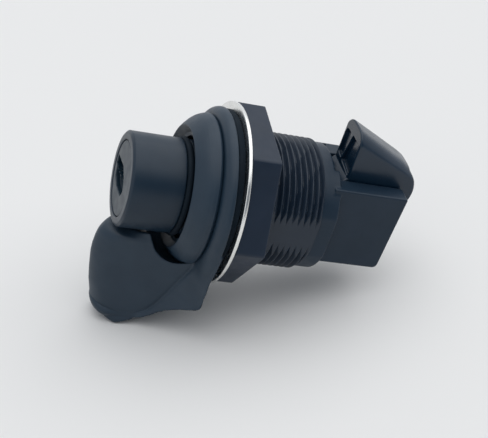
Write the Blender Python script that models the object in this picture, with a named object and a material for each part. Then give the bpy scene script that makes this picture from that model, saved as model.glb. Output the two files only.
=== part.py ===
"""Pushbutton latch with a key plug, a pull grip and a sprung slam bolt.

Axes: the barrel runs along Y, the button faces -Y, the bolt stands up (+Z), the grip hangs down (-Z).
The origin is on the barrel axis, on the plane where the washer meets the gasket.
All sizes are written in millimetres and scaled by MM.
"""
import math

import bmesh
import bpy
from mathutils import Vector

MM = 0.001
for old in list(bpy.data.objects):
    bpy.data.objects.remove(old, do_unlink=True)

# Barrel: M22 with two flats. The fine thread itself is left plain, at its crest radius.
THREAD_R = 11.0
THREAD_END = 14.6
NECK_LENGTH = 2.5
NECK_STEP = 0.5
FLAT_CUT = 0.59
BARREL_WALL = 1.9
WALL_T = 2.1
NECK_R = THREAD_R - NECK_STEP
NECK_END = THREAD_END + NECK_LENGTH
FLAT_X = THREAD_R - FLAT_CUT
GUIDE_R = THREAD_R - BARREL_WALL
WALL_REAR = NECK_END + 0.2
WALL_FRONT = WALL_REAR - WALL_T

# Clamp stack
SEAT_GAP = 0.03
HOLE_R = THREAD_R + 0.08
GASKET_T = 1.2
WASHER_T = 0.6
NUT_WALL = 1.92
NUT_T = 4.85
NUT_TURN = 53.3
NUT_HALF = HOLE_R + NUT_WALL
NUT_CORNER = NUT_HALF / math.cos(math.pi / 6)
WASHER_R = NUT_CORNER - 0.06
BEZEL_R = WASHER_R - 1.35

# Bezel and pull grip
COLLAR_LIP = 0.7
DOME_DEPTH = 8.43
GROOVE_STEP = 1.5
SHIELD_FLARE = 1.1
GRIP_REACH = 17.9
GRIP_DROP = 26.4
COLLAR_HOLE_R = GUIDE_R - COLLAR_LIP
DOME_FRONT = -DOME_DEPTH
GROOVE_Y = -GASKET_T - 1.9
GROOVE_R = BEZEL_R - GROOVE_STEP
SHIELD_R = BEZEL_R + SHIELD_FLARE
SHIELD_X = SHIELD_R - 1.4
SHIELD_LOW = -SHIELD_R - 0.3
SHIELD_TAPER = 0.1
GRIP_TOP = -COLLAR_HOLE_R
GRIP_LOW = -GRIP_DROP
FLANK_SLOPE = 0.47
NOSE_ROUND = 3.1

# Button and lock plug
BUTTON_GAP = 0.65
BUTTON_OUT = 16.2
BUTTON_TAIL = 2.6
BUTTON_TRAVEL = 3.0
RIM_WALL = 1.65
RUN_GAP = 0.08
BUTTON_R = COLLAR_HOLE_R - BUTTON_GAP
BUTTON_FACE = -BUTTON_OUT
PLUG_FACE_R = BUTTON_R - RIM_WALL
PLUG_R = PLUG_FACE_R - 0.6
KEY_TILT = math.radians(9.0)
WAFER_T = 0.7
WAFER_PITCH = 2.1

# Bolt block, bolt and plunger
BLOCK_LENGTH = 12.1
BLOCK_X = THREAD_R - 3.4
BLOCK_TOP = THREAD_R - 3.0
BLOCK_BOTTOM = 4.8 - THREAD_R
BLOCK_WALL = 3.4
FLOOR_T = 1.3
BLOCK_REAR = NECK_END + BLOCK_LENGTH
SLOT_X = BLOCK_X - BLOCK_WALL
SLOT_LOW = BLOCK_BOTTOM + FLOOR_T
BOLT_X = SLOT_X - 0.35
BOLT_REACH = 4.9
BOLT_FACE = NECK_END + 2.2
BOLT_TIP = THREAD_R + BOLT_REACH
BOLT_ROUND = 5.1
PIN_R = 1.2
PIVOT_Y = BLOCK_REAR - 3.2
PIVOT_Z = BLOCK_TOP - 2.6
ARM_T = 1.6
ARM_FRONT = PIVOT_Y - 4.4
ARM_LOW = SLOT_LOW + 1.3
NOSE_R = 1.2
NOSE_Y = ARM_FRONT - NOSE_R - 0.4
NOSE_Z = ARM_LOW + 0.7
ROD_X = 0.55 * SLOT_X
SEGMENTS = 48


def finish_mesh(name, bm):
    bmesh.ops.remove_doubles(bm, verts=bm.verts, dist=1e-7)
    bmesh.ops.recalc_face_normals(bm, faces=bm.faces)
    if bm.calc_volume(signed=True) < 0:
        bmesh.ops.reverse_faces(bm, faces=bm.faces)
    mesh = bpy.data.meshes.new(name)
    bm.to_mesh(mesh)
    bm.free()
    obj = bpy.data.objects.new(name, mesh)
    bpy.context.scene.collection.objects.link(obj)
    return obj


def from_rings(name, rings, closed=False):
    """A skin over rings of equal count, with end faces unless the stack closes on itself."""
    bm = bmesh.new()
    rows = [[bm.verts.new(Vector(p) * MM) for p in ring] for ring in rings]
    count = len(rows[0])
    last = len(rows) if closed else len(rows) - 1
    for i in range(last):
        a, b = rows[i], rows[(i + 1) % len(rows)]
        for j in range(count):
            k = (j + 1) % count
            bm.faces.new((a[j], a[k], b[k], b[j]))
    if not closed:
        bm.faces.new(rows[0])
        bm.faces.new(rows[-1])
    return finish_mesh(name, bm)


def revolve(name, profile, segments=SEGMENTS, turn=0.0, centre=(0.0, 0.0)):
    """Turns a (y, r) profile about the Y axis. A profile whose ends have r = 0 makes a solid, else a ring."""
    bm = bmesh.new()
    rows = []
    for y, r in profile:
        if r < 1e-6:
            rows.append([bm.verts.new(Vector((centre[0], y, centre[1])) * MM)] * segments)
            continue
        row = []
        for j in range(segments):
            a = math.radians(turn) + 2 * math.pi * j / segments
            row.append(bm.verts.new(Vector((centre[0] + r * math.cos(a), y, centre[1] + r * math.sin(a))) * MM))
        rows.append(row)
    solid = profile[0][1] < 1e-6
    for i in range(len(rows) - (1 if solid else 0)):
        a, b = rows[i], rows[(i + 1) % len(rows)]
        for j in range(segments):
            k = (j + 1) % segments
            corners = []
            for v in (a[j], a[k], b[k], b[j]):
                if v not in corners:
                    corners.append(v)
            if len(corners) > 2:
                bm.faces.new(corners)
    return finish_mesh(name, bm)


def prism(name, outline, axis, low, high):
    """A flat outline pushed along an axis. Outline pairs are (y, z), (x, z) or (x, y) for axis x, y or z."""
    place = {
        "x": lambda p, t: (t, p[0], p[1]),
        "y": lambda p, t: (p[0], t, p[1]),
        "z": lambda p, t: (p[0], p[1], t),
    }[axis]
    return from_rings(name, [[place(p, low) for p in outline], [place(p, high) for p in outline]])


def box(name, x, y, z):
    return prism(name, [(x[0], y[0]), (x[1], y[0]), (x[1], y[1]), (x[0], y[1])], "z", z[0], z[1])


def turned_box(name, x, y, z):
    """A box turned about the barrel axis by the key slot's tilt."""
    outline = []
    for px, pz in ((x[0], z[0]), (x[1], z[0]), (x[1], z[1]), (x[0], z[1])):
        outline.append((px * math.cos(KEY_TILT) - pz * math.sin(KEY_TILT), px * math.sin(KEY_TILT) + pz * math.cos(KEY_TILT)))
    return prism(name, outline, "y", y[0], y[1])


def rod(name, axis, centre, radius, low, high, segments=24):
    outline = [
        (centre[0] + radius * math.cos(2 * math.pi * j / segments), centre[1] + radius * math.sin(2 * math.pi * j / segments))
        for j in range(segments)
    ]
    return prism(name, outline, axis, low, high)


def helix(name, radius, wire, turns, low, high, centre=(0.0, 0.0), per_turn=16, sides=6):
    """A coil of round wire along Y."""
    steps = int(turns * per_turn)
    rings = []
    for i in range(steps + 1):
        a = 2 * math.pi * i / per_turn
        y = low + wire + (high - low - 2 * wire) * i / steps
        out = Vector((math.cos(a), 0, math.sin(a)))
        middle = Vector((centre[0], y, centre[1])) + out * radius
        ring = []
        for j in range(sides):
            b = 2 * math.pi * j / sides
            ring.append(middle + out * (wire * math.cos(b)) + Vector((0, 1, 0)) * (wire * math.sin(b)))
        rings.append(ring)
    return from_rings(name, rings)


def combine(target, tool, operation):
    modifier = target.modifiers.new(operation.lower() + "_" + tool.name, "BOOLEAN")
    modifier.operation = operation
    modifier.solver = "EXACT"
    modifier.object = tool
    tool.hide_render = True
    tool.display_type = "WIRE"
    return target


def join(target, *tools):
    for tool in tools:
        combine(target, tool, "UNION")
    return target


def cut(target, *tools):
    for tool in tools:
        combine(target, tool, "DIFFERENCE")
    return target


def arc(centre, radius, start, stop, count):
    """Points on an arc in degrees, both ends kept."""
    points = []
    for i in range(count):
        a = math.radians(start + (stop - start) * i / (count - 1))
        points.append((centre[0] + radius * math.cos(a), centre[1] + radius * math.sin(a)))
    return points


def between(x, table):
    """Straight-line reading of a short table of (x, value) pairs."""
    if x <= table[0][0]:
        return table[0][1]
    for (x0, v0), (x1, v1) in zip(table, table[1:]):
        if x <= x1:
            return v0 + (v1 - v0) * (x - x0) / (x1 - x0)
    return table[-1][1]


def bezier(a, b, c, count):
    """Points on a quadratic curve from a to c, pulled towards b."""
    points = []
    for i in range(count):
        t = i / (count - 1)
        points.append(tuple((1 - t) ** 2 * p + 2 * t * (1 - t) * q + t * t * r for p, q, r in zip(a, b, c)))
    return points


# Housing: dome, groove, threaded barrel and neck turned as one
LIP_R = COLLAR_HOLE_R + 1.8
LIP_Y = DOME_FRONT + 1.2
dome = [(DOME_FRONT, COLLAR_HOLE_R + 0.1), (DOME_FRONT + 0.1, COLLAR_HOLE_R + 0.4)]
dome += bezier((LIP_Y, LIP_R), (GROOVE_Y - 2.4, GROOVE_R + 0.1), (GROOVE_Y - 0.45, GROOVE_R + 0.4), 9)
turned = [(DOME_FRONT, 0.0)] + dome + [(GROOVE_Y, GROOVE_R), (-GASKET_T, GROOVE_R), (-GASKET_T, NECK_R), (-0.6, NECK_R), (-0.2, THREAD_R)]
turned += [(THREAD_END - 0.5, THREAD_R), (THREAD_END, NECK_R), (NECK_END - 0.2, NECK_R), (NECK_END, NECK_R - 0.2), (NECK_END, 0.0)]
housing = revolve("housing", turned)

# Ring that swells out of the groove to the shield outline
shield = []
for i in range(72):
    a = math.radians(5 * i)
    cx, cz = math.cos(a), math.sin(a)
    reach = math.sqrt(SHIELD_R ** 2 - cx ** 2) - cz
    reach = min(reach, (SHIELD_X - SHIELD_TAPER * SHIELD_LOW) / max(abs(cx) - SHIELD_TAPER * cz, 1e-6))
    if cz < 0:
        reach = min(reach, SHIELD_LOW / cz)
    shield.append((reach * cx, reach * cz))
ring_rows = [[(x, -GASKET_T, z) for x, z in shield]]
for t in (90, 72, 54, 36, 18, 0):
    swell, rise = math.sin(math.radians(t)), math.cos(math.radians(t))
    row = []
    for x, z in shield:
        r = math.hypot(x, z)
        inner = GROOVE_R - 0.05
        row.append((x / r * (inner + (r - inner) * swell), -GASKET_T - 0.35 + (GROOVE_Y + GASKET_T + 0.35) * rise, z / r * (inner + (r - inner) * swell)))
    ring_rows.append(row)
ring = from_rings("shield_ring", ring_rows)

# Pull grip: sections at heights, each a wedge with a round nose that widens into the skirt
GRIP_SPAN = GRIP_TOP - GRIP_LOW
FRONT_Y = -GRIP_REACH
nose_line = [(GRIP_LOW + f * GRIP_SPAN, FRONT_Y + d) for f, d in (
    (0.0, 4.6), (0.03, 3.1), (0.1, 2.55), (0.23, 1.8), (0.45, 0.75), (0.62, 0.15), (0.74, 0.0), (0.86, 0.25), (0.93, 0.8), (0.975, 2.0),
    (1.0, 4.2), (1.02, 6.2),
)]
GRIP_DEEP = GRIP_REACH - GASKET_T - 1.1
HEEL_Y = FRONT_Y + 0.36 * GRIP_DEEP
crease_line = [(GRIP_LOW + f * GRIP_SPAN, FRONT_Y + d * GRIP_DEEP) for f, d in (
    (0.04, 0.25), (0.12, 0.378), (0.2, 0.513), (0.3, 0.641), (0.38, 0.692), (0.7, 0.833), (0.9, 0.929), (1.12, 1.0),
)]


def edge_distance(y, z):
    outline = [(y0, z0) for z0, y0 in nose_line[:-1]] + [(FRONT_Y + 7.3, GRIP_TOP + 0.05)]
    outline = [(HEEL_Y, GRIP_LOW)] + outline
    best = 1e9
    for (y0, z0), (y1, z1) in zip(outline, outline[1:]):
        dy, dz = y1 - y0, z1 - z0
        t = max(0.0, min(1.0, ((y - y0) * dy + (z - z0) * dz) / (dy * dy + dz * dz)))
        best = min(best, math.hypot(y - y0 - t * dy, z - z0 - t * dz))
    return best


def grip_half(y, z):
    d = min(1.0, edge_distance(y, z) / NOSE_ROUND)
    wide = 2.0 + FLANK_SLOPE * (y - FRONT_Y) + 0.25 * (1.0 - d)
    return max(0.12, wide * math.sqrt(max(0.0, 1.0 - (1.0 - d) ** 2)))


def skirt_edge(z):
    """The skirt's rim at a height: its half width and its place along the barrel."""
    if z > SHIELD_LOW:
        return SHIELD_X + 0.02 * (z - SHIELD_LOW), -GASKET_T - 0.5
    s = (SHIELD_LOW - z) / (SHIELD_LOW - GRIP_LOW)
    bow = s * (1 - s) ** 3
    x = 3.2 + (SHIELD_X - 3.2) * (1 - s) - 7.0 * bow
    return x, -GASKET_T - 0.5 + (HEEL_Y + GASKET_T + 0.5) * s - 3.0 * bow


def grip_section(z):
    front = between(z, nose_line)
    crease = max(between(z, crease_line), front + 0.8)
    edge_x, edge_y = skirt_edge(z)
    edge_y = max(edge_y, crease + 0.5)
    half = []
    for i in range(11):
        t = i / 10
        yy = front + (crease - front) * (t * t * 0.62 + t * 0.38)
        half.append((grip_half(yy, z) if i else 0.12, yy))
    x_crease = half[-1][0]
    for t in (0.34, 0.67, 1.0):
        half.append((x_crease + (max(edge_x, x_crease + 0.15) - x_crease) * t, crease + (edge_y - crease) * t))
    half.append((half[-1][0], max(edge_y + 0.12, -GASKET_T - 0.25 if z > SHIELD_LOW else edge_y + 0.12)))
    return [(x, yy, z) for x, yy in half] + [(-x, yy, z) for x, yy in reversed(half)]


heights = []
for i in range(30):
    t = i / 29
    heights.append(GRIP_LOW + (GRIP_SPAN + 5.5) * (t + 0.16 * math.sin(2 * math.pi * t) * -0.55))
grip = from_rings("grip_body", [grip_section(z) for z in heights])
moat = bezier((DOME_FRONT - 2.6, COLLAR_HOLE_R + 0.3), (DOME_FRONT - 1.6, GROOVE_R - 0.3), (DOME_FRONT + 0.6, GROOVE_R - 0.05), 6)
clearance = revolve(
    "grip_clearance",
    [(FRONT_Y - 3.0, 0.0), (FRONT_Y - 3.0, COLLAR_HOLE_R + 0.25), (DOME_FRONT - 3.2, COLLAR_HOLE_R + 0.25)] + moat
    + [(GROOVE_Y - 1.6, GROOVE_R + 0.25), (GROOVE_Y - 1.1, GROOVE_R + 0.1), (GROOVE_Y - 1.1, 0.0)],
)
cut(grip, clearance)

# Bolt block with its slot
block_from = NECK_END - 0.15
block_outline = [(block_from, BLOCK_BOTTOM)] + arc((BLOCK_REAR - 1.75, BLOCK_BOTTOM + 1.2), 1.2, -90, 0, 5)
block_outline += [(BLOCK_REAR, BLOCK_TOP), (block_from, BLOCK_TOP)]
block = prism("bolt_block", block_outline, "x", -BLOCK_X, BLOCK_X)
notch_y, notch_z = NECK_END - 1.1, THREAD_R - 2.5
ledge_y, ledge_z = BLOCK_REAR - 1.7, PIVOT_Z - 4.0
slot = prism(
    "bolt_slot",
    [(WALL_REAR, SLOT_LOW), (ledge_y, SLOT_LOW), (ledge_y, ledge_z), (BLOCK_REAR + 2, ledge_z), (BLOCK_REAR + 2, BOLT_TIP + 6),
     (notch_y, BOLT_TIP + 6), (notch_y, notch_z), (WALL_REAR, notch_z)],
    "x", -SLOT_X, SLOT_X,
)
BORE_STEP = -3.0
bore = revolve(
    "barrel_bore",
    [(DOME_FRONT - 2, 0.0), (DOME_FRONT - 2, COLLAR_HOLE_R), (BORE_STEP, COLLAR_HOLE_R), (BORE_STEP, GUIDE_R), (WALL_FRONT, GUIDE_R), (WALL_FRONT, 0.0)],
)
rod_hole = box("plunger_hole", (-ROD_X - 0.3, ROD_X + 0.3), (WALL_FRONT - 1, WALL_REAR + 1), (NOSE_Z - NOSE_R - 0.3, NOSE_Z + NOSE_R + 0.3))
pin_hole = rod("pin_hole", "x", (PIVOT_Y, PIVOT_Z), PIN_R + 0.03, -BLOCK_X - 1.0, BLOCK_X - 1.2)
flat_right = box("flat_right", (FLAT_X, FLAT_X + 2), (-0.9, NECK_END + 0.05), (-0.6 * THREAD_R, 0.6 * THREAD_R))
flat_left = box("flat_left", (-FLAT_X - 2, -FLAT_X), (-0.9, NECK_END + 0.05), (-0.6 * THREAD_R, 0.6 * THREAD_R))
scoop_rings = []
scoop_y, scoop_z = (FRONT_Y - GASKET_T) * 0.5 + 3.0, (SHIELD_LOW + GRIP_LOW) * 0.5 + 0.5
for i in range(1, 12):
    a = math.pi * i / 12
    ring_points = []
    for j in range(24):
        b = 2 * math.pi * j / 24
        along, deep = 5.6 * math.cos(a), 3.4 * math.sin(a) * math.sin(b)
        wide = 4.9 * math.sin(a) * math.cos(b)
        ring_points.append((wide, scoop_y + (along - deep) * 0.7071, scoop_z + (along + deep) * 0.7071))
    scoop_rings.append(ring_points)
scoop = from_rings("finger_scoop", scoop_rings)
join(housing, ring, grip, block)
cut(housing, bore, slot, rod_hole, pin_hole, flat_right, flat_left, scoop)

# Gasket, washer and nut on the barrel
gasket = revolve(
    "gasket",
    [(-GASKET_T + SEAT_GAP, HOLE_R), (-GASKET_T + SEAT_GAP, BEZEL_R - 0.1), (-GASKET_T + 0.2, BEZEL_R), (-0.2, BEZEL_R),
     (-SEAT_GAP, BEZEL_R - 0.15), (-SEAT_GAP, HOLE_R)],
)
washer = revolve("washer", [(0.0, HOLE_R), (0.0, WASHER_R), (WASHER_T, WASHER_R), (WASHER_T, HOLE_R)], 72)
nut_low = WASHER_T + SEAT_GAP
nut_high = nut_low + NUT_T
hexagon = [(NUT_CORNER * math.cos(math.radians(NUT_TURN + 60 * k)), NUT_CORNER * math.sin(math.radians(NUT_TURN + 60 * k))) for k in range(6)]
hex_nut = prism("hex_nut", hexagon, "y", nut_low, nut_high)
nut_bore = revolve(
    "nut_bore",
    [(nut_low - 2, 0.0), (nut_low - 2, HOLE_R + 2.5), (nut_low + 0.5, HOLE_R), (nut_high - 0.5, HOLE_R), (nut_high + 2, HOLE_R + 2.5),
     (nut_high + 2, 0.0)],
)
cut(hex_nut, nut_bore)

# Button shell: rim, seal groove, wafer tracks and two snap lugs
SEAL_Y = DOME_FRONT + 0.83
SEAL_WIRE = 0.86 * BUTTON_GAP
LUG_FRONT = BORE_STEP + 0.3
seat_y = BUTTON_FACE + 1.8
shell = revolve(
    "button_shell",
    [(BUTTON_FACE, PLUG_FACE_R + 0.12), (BUTTON_FACE, BUTTON_R - 0.45), (BUTTON_FACE + 0.35, BUTTON_R), (SEAL_Y - 0.65, BUTTON_R),
     (SEAL_Y - 0.65, BUTTON_R - 0.67), (SEAL_Y + 0.65, BUTTON_R - 0.67), (SEAL_Y + 0.65, BUTTON_R), (BUTTON_TAIL - 0.4, BUTTON_R),
     (BUTTON_TAIL, BUTTON_R - 0.4), (BUTTON_TAIL, PLUG_R + RUN_GAP), (seat_y, PLUG_R + RUN_GAP), (seat_y, PLUG_FACE_R + 0.12)],
)
lug_ring = revolve(
    "lug_ring",
    [(LUG_FRONT, BUTTON_R - 0.75), (LUG_FRONT, GUIDE_R - 0.1), (LUG_FRONT + 1.4, GUIDE_R - 0.1), (LUG_FRONT + 1.9, GUIDE_R - 0.9),
     (LUG_FRONT + 1.9, BUTTON_R - 0.75)],
)
lug_keep = box("lug_keep", (-GUIDE_R - 1, GUIDE_R + 1), (LUG_FRONT - 1, LUG_FRONT + 3), (-0.44 * GUIDE_R, 0.44 * GUIDE_R))
combine(lug_ring, lug_keep, "INTERSECT")
WAFER_HALF_Z = 0.4 * PLUG_R
track_half, track_x = WAFER_HALF_Z + 0.35, PLUG_R + 1.25
wafer_first = BUTTON_FACE + 4.6
wafer_places = [wafer_first + WAFER_PITCH * k for k in range(4)]
track_y = (wafer_first - 1.1, wafer_places[-1] + 1.4)
wafer_track = turned_box("wafer_track", (-track_x, track_x), track_y, (-track_half, track_half))
wafer_track_turned = turned_box("wafer_track_turned", (-track_half, track_half), track_y, (-track_x, track_x))
join(shell, lug_ring)
cut(shell, wafer_track, wafer_track_turned)

seal_rings = []
seal_r = BUTTON_R - 0.67 + 0.07 + SEAL_WIRE
for i in range(SEGMENTS):
    a = 2 * math.pi * i / SEGMENTS
    ring_points = []
    for j in range(8):
        b = 2 * math.pi * j / 8
        r = seal_r + SEAL_WIRE * math.cos(b)
        ring_points.append((r * math.cos(a), SEAL_Y + SEAL_WIRE * math.sin(b), r * math.sin(a)))
    seal_rings.append(ring_points)
seal = from_rings("o_ring", seal_rings, closed=True)

# Lock plug: face, keyway, wafer slots and a tail with a clip groove
tail_y = BUTTON_TAIL + 0.1
plug = revolve(
    "lock_plug",
    [(BUTTON_FACE + 0.1, 0.0), (BUTTON_FACE + 0.1, PLUG_FACE_R - 0.1), (BUTTON_FACE + 0.2, PLUG_FACE_R), (seat_y - 0.1, PLUG_FACE_R),
     (seat_y - 0.1, PLUG_R), (tail_y, PLUG_R), (tail_y, PLUG_R - 0.8), (tail_y + 0.65, PLUG_R - 0.8), (tail_y + 0.65, PLUG_R),
     (tail_y + 1.05, PLUG_R), (tail_y + 1.05, 0.0)],
)
keyway = turned_box("keyway", (-0.78 * PLUG_R, 0.6 * PLUG_R), (BUTTON_FACE - 1, wafer_places[-1] + 1.7), (-1.0, 0.85))
key_mouth = turned_box("key_mouth", (-0.65 * PLUG_R, 0.44 * PLUG_R), (BUTTON_FACE - 1, BUTTON_FACE + 0.9), (-2.6, -0.6))
cut(plug, keyway, key_mouth)
wafers = []
wafer_half = math.sqrt((PLUG_R - 0.06) ** 2 - WAFER_HALF_Z ** 2)
for number, station in enumerate(wafer_places, 1):
    gap = turned_box("wafer_gap_%d" % number, (-PLUG_R - 0.4, PLUG_R + 0.4), (station - WAFER_T / 2 - 0.12, station + WAFER_T / 2 + 0.12),
                     (-WAFER_HALF_Z - 0.1, WAFER_HALF_Z + 0.1))
    cut(plug, gap)
    wafer = turned_box("wafer_%d" % number, (-wafer_half, wafer_half), (station - WAFER_T / 2, station + WAFER_T / 2), (-WAFER_HALF_Z, WAFER_HALF_Z))
    shift = (0.055, -0.065, 0.02, -0.03)[number - 1] * PLUG_R
    window = turned_box("wafer_window_%d" % number, (-0.6 * PLUG_R + shift, 0.53 * PLUG_R + shift), (station - 1, station + 1),
                        (-0.5 * WAFER_HALF_Z, 0.43 * WAFER_HALF_Z))
    cut(wafer, window)
    wafers.append(wafer)

clip_outline = arc((0.0, 0.0), GUIDE_R - 2.4, 125, 415, 30) + arc((0.0, 0.0), PLUG_R - 0.7, 415, 125, 30)
clip = prism("plug_clip", clip_outline, "y", tail_y + 0.05, tail_y + 0.55)

tab_low = tail_y + 1.1
tab_high = tab_low + 1.0
tab_mid = PLUG_R - 1.5
tab_outline = arc((tab_mid, 0.0), 1.6, -90, 90, 7) + arc((-tab_mid, 0.0), 1.6, 90, 270, 7)
drive_tab = prism("drive_tab", tab_outline, "y", tab_low, tab_high)
tab_hole = rod("tab_hole", "y", (0.0, 0.0), 1.1, tab_low - 1, tab_high + 1)
cut(drive_tab, tab_hole)
pit_y = wafer_places[-1] + 3.8
screw_pit = rod("screw_pit", "y", (0.0, 0.0), 1.05, pit_y, tail_y + 3)
cut(plug, screw_pit)
screw_low, screw_high = tab_high + 0.04, tab_high + 1.25
screw = revolve(
    "tab_screw",
    [(pit_y + 0.3, 0.0), (pit_y + 0.3, 0.7), (pit_y + 0.6, 1.0), (screw_low, 1.0), (screw_low, 1.95), (screw_low + 0.7, 1.95),
     (screw_high, 1.3), (screw_high, 0.0)], 24,
)
cross_a = box("cross_a", (-1.0, 1.0), (screw_high - 0.6, screw_high + 1), (-0.2, 0.2))
cross_b = box("cross_b", (-0.2, 0.2), (screw_high - 0.6, screw_high + 1), (-1.0, 1.0))
cut(screw, cross_a, cross_b)

# Spring seat and button spring
seat_low, seat_high = BUTTON_TAIL + 0.05, BUTTON_TAIL + 0.75
spring_seat = revolve("spring_seat", [(seat_low, GUIDE_R - 2.25), (seat_low, GUIDE_R - 0.3), (seat_high, GUIDE_R - 0.3), (seat_high, GUIDE_R - 2.25)])
button_spring = helix("button_spring", GUIDE_R - 1.25, 0.5, 5.5, seat_high + 0.03, WALL_FRONT - 0.03)

# Plunger: pressure ring, rod and round nose that works the bolt's arm
ring_front = tab_high + 0.3
ring_r = GUIDE_R - 2.9
plunger = revolve("plunger", [(ring_front, 2.7), (ring_front, ring_r), (ring_front + 1.7, ring_r), (ring_front + 1.7, 2.7)], 48)
plunger_cross = box("plunger_cross", (-ROD_X, ROD_X), (ring_front + 1.05, ring_front + 1.65), (-0.5 * (2.7 + ring_r) - 0.3, NOSE_Z + NOSE_R))
plunger_rod = box("plunger_rod", (-ROD_X, ROD_X), (ring_front + 1.05, NOSE_Y), (NOSE_Z - NOSE_R, NOSE_Z + NOSE_R))
plunger_nose = rod("plunger_nose", "x", (NOSE_Y, NOSE_Z), NOSE_R, -ROD_X, ROD_X)
join(plunger, plunger_cross, plunger_rod, plunger_nose)

# Bolt: side outline, crowned ramp, front cavities, arm and pin hole
arm_rear = ARM_FRONT + ARM_T
round_y, round_z = PIVOT_Y + 0.5, PIVOT_Z + 1.8
heel_y = WALL_REAR + 0.35
side = [(BOLT_FACE, round_z + 1.0), (heel_y, round_z - 0.5), (heel_y, PIVOT_Z - 2.2), (ARM_FRONT, PIVOT_Z - 3.6), (ARM_FRONT, ARM_LOW),
        (arm_rear, ARM_LOW), (arm_rear + 0.5, PIVOT_Z - 3.2)]
side += arc((round_y, round_z), BOLT_ROUND, -95, 46, 16)
side += [(round_y + 2.1, BOLT_TIP - 2.4), (round_y - 0.5, BOLT_TIP - 0.9), (BOLT_FACE + 0.7, BOLT_TIP + 1.6), (BOLT_FACE, BOLT_TIP + 1.6)]
bolt = prism("bolt", side, "x", -BOLT_X, BOLT_X)
ramp_end = round_y + 3.5
crown_line = [(BOLT_FACE - 1.5, BOLT_TIP + 0.05), (BOLT_FACE + 0.4, BOLT_TIP), (ramp_end, BOLT_TIP - 4.8), (ramp_end + 3.0, BOLT_TIP - 6.6)]
crown_rings = []
for i in range(14):
    y = BOLT_FACE - 1.3 + (ramp_end + 4.3 - BOLT_FACE) * (i / 13) ** 1.25
    top = between(y, crown_line)
    drop = between(y, [(BOLT_FACE, 1.6), (ramp_end, 1.1)])
    wide = BOLT_X + 0.6
    ring_points = [(wide, y, BLOCK_BOTTOM - 1.8)]
    for j in range(13):
        t = 1.0 - 2.0 * j / 12
        ring_points.append((BOLT_X * t if 0 < j < 12 else wide * t, y, top - drop * abs(t) ** 2.6))
    ring_points.append((-wide, y, BLOCK_BOTTOM - 1.8))
    crown_rings.append(ring_points)
bolt_crown = from_rings("bolt_crown", crown_rings)
combine(bolt, bolt_crown, "INTERSECT")
w = BOLT_X / 3.85
cavity_floor = BOLT_FACE + 1.6
cavity_low = prism(
    "cavity_low",
    [(-2.9 * w, BLOCK_TOP + 1.4), (3.0 * w, BLOCK_TOP + 1.4), (3.0 * w, BLOCK_TOP + 3.9), (1.6 * w, BLOCK_TOP + 3.9), (-2.9 * w, BLOCK_TOP + 2.3)],
    "y", BOLT_FACE - 1, cavity_floor,
)
cavity_high = prism(
    "cavity_high",
    [(-2.9 * w, BOLT_TIP - 4.5), (1.2 * w, BOLT_TIP - 3.0), (2.9 * w, BOLT_TIP - 3.0), (2.4 * w, BOLT_TIP - 2.2), (0.9 * w, BOLT_TIP - 1.2),
     (-1.0 * w, BOLT_TIP - 1.2), (-2.6 * w, BOLT_TIP - 2.3)],
    "y", BOLT_FACE - 1, cavity_floor,
)
bolt_hole = rod("bolt_hole", "x", (PIVOT_Y, PIVOT_Z), PIN_R + 0.06, -BOLT_X - 1, BOLT_X + 1)
arm_side_a = box("arm_side_a", (0.73 * BOLT_X, BOLT_X + 2), (heel_y - 1, arm_rear + 1), (ARM_LOW - 2, PIVOT_Z - 3.7))
arm_side_b = box("arm_side_b", (-BOLT_X - 2, -0.73 * BOLT_X), (heel_y - 1, arm_rear + 1), (ARM_LOW - 2, PIVOT_Z - 3.7))
cut(bolt, cavity_low, cavity_high, bolt_hole, arm_side_a, arm_side_b)
pivot_pin = rod("pivot_pin", "x", (PIVOT_Y, PIVOT_Z), PIN_R, -BLOCK_X + 0.05, BLOCK_X - 1.3)
spring_r = 0.27 * (PIVOT_Z - 3.6 - ARM_LOW)
bolt_spring = helix("bolt_spring", spring_r, 0.22, 3.5, arm_rear + 0.05, ledge_y - 0.05, centre=(0.0, ARM_LOW + 0.9 * spring_r), per_turn=14)


def material(name, colour, metallic, roughness):
    mat = bpy.data.materials.new(name)
    mat.use_nodes = True
    shader = mat.node_tree.nodes["Principled BSDF"]
    shader.inputs["Base Color"].default_value = (*colour, 1.0)
    shader.inputs["Metallic"].default_value = metallic
    shader.inputs["Roughness"].default_value = roughness
    return mat


MOULDED = material("moulded_black", (0.03, 0.03, 0.033), 0.0, 0.5)
GLOSSY = material("bolt_black", (0.025, 0.025, 0.028), 0.0, 0.3)
RUBBER = material("rubber_black", (0.015, 0.015, 0.016), 0.0, 0.8)
PLATED = material("plated_steel", (0.7, 0.7, 0.68), 1.0, 0.28)
BRASS = material("lock_brass", (0.55, 0.42, 0.2), 1.0, 0.35)
for obj, mat in (
    (housing, MOULDED), (hex_nut, MOULDED), (shell, MOULDED), (plunger, MOULDED), (bolt, GLOSSY), (plug, GLOSSY),
    (gasket, RUBBER), (seal, RUBBER), (washer, PLATED), (clip, PLATED), (screw, PLATED), (drive_tab, PLATED),
    (spring_seat, PLATED), (button_spring, PLATED), (bolt_spring, PLATED), (pivot_pin, PLATED), *((w, BRASS) for w in wafers),
):
    obj.data.materials.append(mat)

# Each moving piece hangs from an empty on its joint
for name, point, pieces in (
    ("button_axis", (0.0, BUTTON_FACE, 0.0), (shell, seal, spring_seat)),
    ("plug_axis", (0.0, 0.0, 0.0), (plug, clip, drive_tab, screw, *wafers)),
    ("plunger_axis", (0.0, ring_front, 0.0), (plunger,)),
    ("bolt_pivot", (0.0, PIVOT_Y, PIVOT_Z), (bolt,)),
):
    empty = bpy.data.objects.new(name, None)
    bpy.context.scene.collection.objects.link(empty)
    empty.location = Vector(point) * MM
    for piece in pieces:
        piece.parent = empty
        piece.matrix_parent_inverse = empty.matrix_basis.inverted()
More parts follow.
